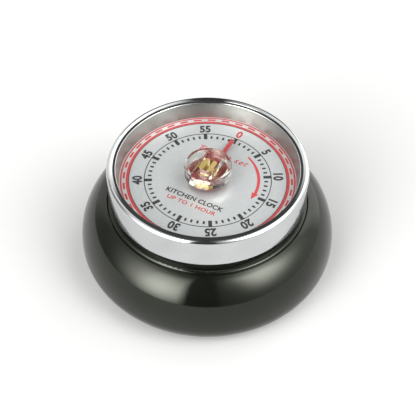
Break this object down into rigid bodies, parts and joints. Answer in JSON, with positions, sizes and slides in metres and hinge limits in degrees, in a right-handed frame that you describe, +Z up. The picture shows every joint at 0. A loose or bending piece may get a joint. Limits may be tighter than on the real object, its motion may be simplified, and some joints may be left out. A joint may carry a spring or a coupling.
{
  "type": "kitchen timer",
  "caption": "Round wind-up kitchen timer with a domed black case, chrome bezel, printed minute dial, clear knob over a red hand, geared movement, bell and magnetic base.",
  "frame": {"origin": "centre of the underside of the rubber ring, on the dial's axis", "axes": "+Z up out of the dial along the knob's axis; +Y towards the dial's 0 mark; +X towards its 15 mark"},
  "size_m": [0.07, 0.07, 0.0343],
  "materials": {
    "black_paint": "gloss",
    "chrome": "polished",
    "satin_steel": "satin",
    "dial_white": "matt printed",
    "black_plastic": "fine grain",
    "rubber": "matt",
    "magnet": "nickelled",
    "screw_steel": "zinc plated",
    "brass": "turned",
    "plate_brass": "flat rolled",
    "clear_plastic": "clear moulded acrylic",
    "red_plastic": "satin",
    "steel": "ground",
    "spring_steel": "blued",
    "bell_steel": "nickel plated"
  },
  "bodies": {
    "case": {"case_shell": "black_paint", "bezel": "chrome", "inner_ring": "satin_steel", "dial_plate": "dial_white", "back_cover": "black_plastic", "rubber_ring": "rubber", "magnets": "magnet", "cover_screws": "screw_steel", "cover_bosses": "brass", "back_plate": "plate_brass", "front_plate": "plate_brass", "pillars": "brass", "pillar_screws": "screw_steel", "deck_posts": "brass", "deck_screws": "screw_steel", "mainspring": "spring_steel", "spring_post": "brass", "bell": "bell_steel", "bell_post": "brass", "bell_screw": "screw_steel"},
    "setting": {"knob": "clear_plastic", "pointer": "red_plastic", "main_arbor": "brass", "main_wheel": "brass", "ratchet_wheel": "steel", "click": "steel", "trip_cam": "brass", "spring_hub": "brass"},
    "second": {"second_pinion": "steel", "second_wheel": "brass"},
    "third": {"third_pinion": "steel", "third_wheel": "brass"},
    "escape": {"escape_pinion": "steel", "escape_wheel": "brass"},
    "strike": {"strike_pinion": "steel", "strike_wheel": "steel"},
    "lever": {"pallet_lever": "brass", "pallet_pins": "steel"},
    "balance": {"balance_wheel": "brass", "balance_staff": "steel", "impulse_pin": "steel"},
    "hammer": {"hammer_arm": "steel", "hammer_shank": "steel", "hammer_head": "brass"},
    "trip": {"trip_lever": "steel"}
  },
  "joints": [
    {"name": "escape_turn", "type": "hinge", "parent": "case", "child": "escape", "pos_m": [0.00156, -0.01455, 0.015], "axis": [0, 0, 1], "range_deg": [0, 107352]},
    {"name": "knob_turn", "type": "hinge", "parent": "case", "child": "setting", "pos_m": [0, 0, 0.015], "axis": [0, 0, -1], "range_deg": [0, 355.5]},
    {"name": "second_turn", "type": "hinge", "parent": "case", "child": "second", "pos_m": [-0.0139, -0.00506, 0.015], "axis": [0, 0, 1], "range_deg": [0, 2558]},
    {"name": "third_turn", "type": "hinge", "parent": "case", "child": "third", "pos_m": [-0.00748, -0.01328, 0.015], "axis": [0, 0, -1], "range_deg": [0, 17902]},
    {"name": "strike_turn", "type": "hinge", "parent": "case", "child": "strike", "pos_m": [0.00694, 0.01306, 0.015], "axis": [0, 0, 1], "range_deg": [0, 2558]},
    {"name": "balance_swing", "type": "hinge", "parent": "case", "child": "balance", "pos_m": [0.0119, -0.00986, 0.015], "axis": [0, 0, 1], "range_deg": [-15, 15], "stiffness_Nm_per_rad": 0.000002},
    {"name": "lever_rock", "type": "hinge", "parent": "case", "child": "lever", "pos_m": [0.00704, -0.01338, 0.015], "axis": [0, 0, -1], "range_deg": [-5.1, 5.1]},
    {"name": "hammer_swing", "type": "hinge", "parent": "case", "child": "hammer", "pos_m": [-0.0026, 0.0202, 0.015], "axis": [0, 0, -1], "range_deg": [0, 12], "stiffness_Nm_per_rad": 0.0001},
    {"name": "trip_drop", "type": "hinge", "parent": "case", "child": "trip", "pos_m": [-0.013, 0.0106, 0.015], "axis": [0, 0, -1], "range_deg": [0, 5], "stiffness_Nm_per_rad": 0.0001}
  ],
  "couplings": [
    {"joint": "knob_turn", "follows": "escape_turn", "ratio": 0.0033069},
    {"joint": "second_turn", "follows": "escape_turn", "ratio": 0.02381},
    {"joint": "third_turn", "follows": "escape_turn", "ratio": 0.16667},
    {"joint": "strike_turn", "follows": "escape_turn", "ratio": 0.02381},
    {"joint": "lever_rock", "follows": "balance_swing", "ratio": 0.33333}
  ]
}
